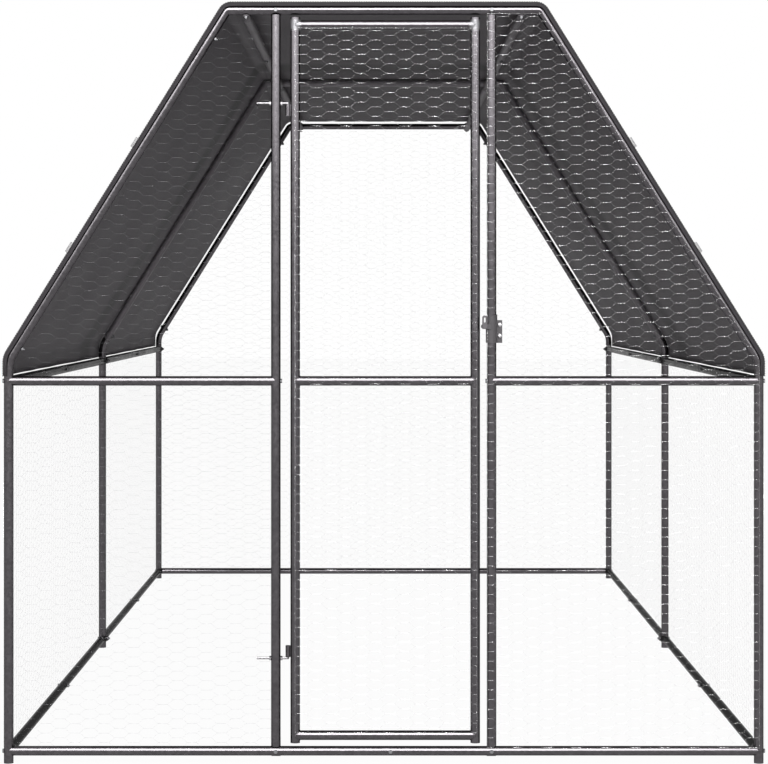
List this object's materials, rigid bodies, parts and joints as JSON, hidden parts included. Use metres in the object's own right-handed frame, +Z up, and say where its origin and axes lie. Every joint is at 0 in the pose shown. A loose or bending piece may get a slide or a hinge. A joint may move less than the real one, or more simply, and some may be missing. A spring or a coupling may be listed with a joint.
{
  "type": "walk-in chicken cage",
  "caption": "Walk-in chicken cage: galvanised tube arches with wire netting on all sides, a fabric roof cover and a hinged, latched door in the front.",
  "frame": {"origin": "on the ground under the middle of the cage, the bottom centre of its box", "axes": "+Z up, +Y from the door end to the back, +X to the right when facing the door"},
  "size_m": [2.008, 4.035, 2.0027],
  "materials": {
    "galvanised_tube": "grey galvanised steel tube, smooth, softly glossy",
    "zinc_hardware": "zinc-plated steel, dull with brighter edges",
    "net_wire": "thin bright galvanised wire, twisted to hexagons",
    "cover_cloth": "charcoal woven coated cloth, matt",
    "tie_webbing": "light grey woven webbing"
  },
  "bodies": {
    "frame": {"front_left_post": "galvanised_tube", "front_left_rafter": "galvanised_tube", "front_right_post": "galvanised_tube", "front_right_rafter": "galvanised_tube", "front_elbows": "galvanised_tube", "front_top_tube": "galvanised_tube", "mid_left_post": "galvanised_tube", "mid_left_rafter": "galvanised_tube", "mid_right_post": "galvanised_tube", "mid_right_rafter": "galvanised_tube", "mid_elbows": "galvanised_tube", "mid_top_tube": "galvanised_tube", "back_left_post": "galvanised_tube", "back_left_rafter": "galvanised_tube", "back_right_post": "galvanised_tube", "back_right_rafter": "galvanised_tube", "back_elbows": "galvanised_tube", "back_top_tube": "galvanised_tube", "left_base_rail_front": "galvanised_tube", "left_base_rail_back": "galvanised_tube", "left_eave_rail_front": "galvanised_tube", "left_eave_rail_back": "galvanised_tube", "left_purlin_front": "galvanised_tube", "left_purlin_back": "galvanised_tube", "right_base_rail_front": "galvanised_tube", "right_base_rail_back": "galvanised_tube", "right_eave_rail_front": "galvanised_tube", "right_eave_rail_back": "galvanised_tube", "right_purlin_front": "galvanised_tube", "right_purlin_back": "galvanised_tube", "front_base_rail": "galvanised_tube", "back_base_rail": "galvanised_tube", "front_mid_rail_left": "galvanised_tube", "front_mid_rail_right": "galvanised_tube", "door_post_left": "galvanised_tube", "door_post_right": "galvanised_tube", "hinge_pintle_upper": "zinc_hardware", "hinge_pintle_lower": "zinc_hardware", "latch_clamp_front": "zinc_hardware", "latch_clamp_back": "zinc_hardware", "latch_bolts": "zinc_hardware", "frame_bolts": "zinc_hardware", "frame_nuts": "zinc_hardware", "rail_inserts": "zinc_hardware", "left_wall_net": "net_wire", "right_wall_net": "net_wire", "back_net": "net_wire", "front_net_left": "net_wire", "front_net_right": "net_wire", "roof_cover": "cover_cloth", "cover_ties": "tie_webbing"},
    "door": {"door_stile_left": "galvanised_tube", "door_stile_right": "galvanised_tube", "door_rail_top": "galvanised_tube", "door_rail_mid": "galvanised_tube", "door_rail_bottom": "galvanised_tube", "hinge_sleeves": "zinc_hardware", "door_net": "net_wire"},
    "latch": {"latch_fork": "zinc_hardware"}
  },
  "joints": [
    {"name": "door_hinge", "type": "hinge", "parent": "frame", "child": "door", "pos_m": [-0.252, -1.9875, 1], "axis": [0, 0, -1], "range_deg": [0, 110]},
    {"name": "latch_pivot", "type": "hinge", "parent": "frame", "child": "latch", "pos_m": [0.2635, -1.9875, 1.149], "axis": [0, -1, 0], "range_deg": [0, 90]}
  ]
}
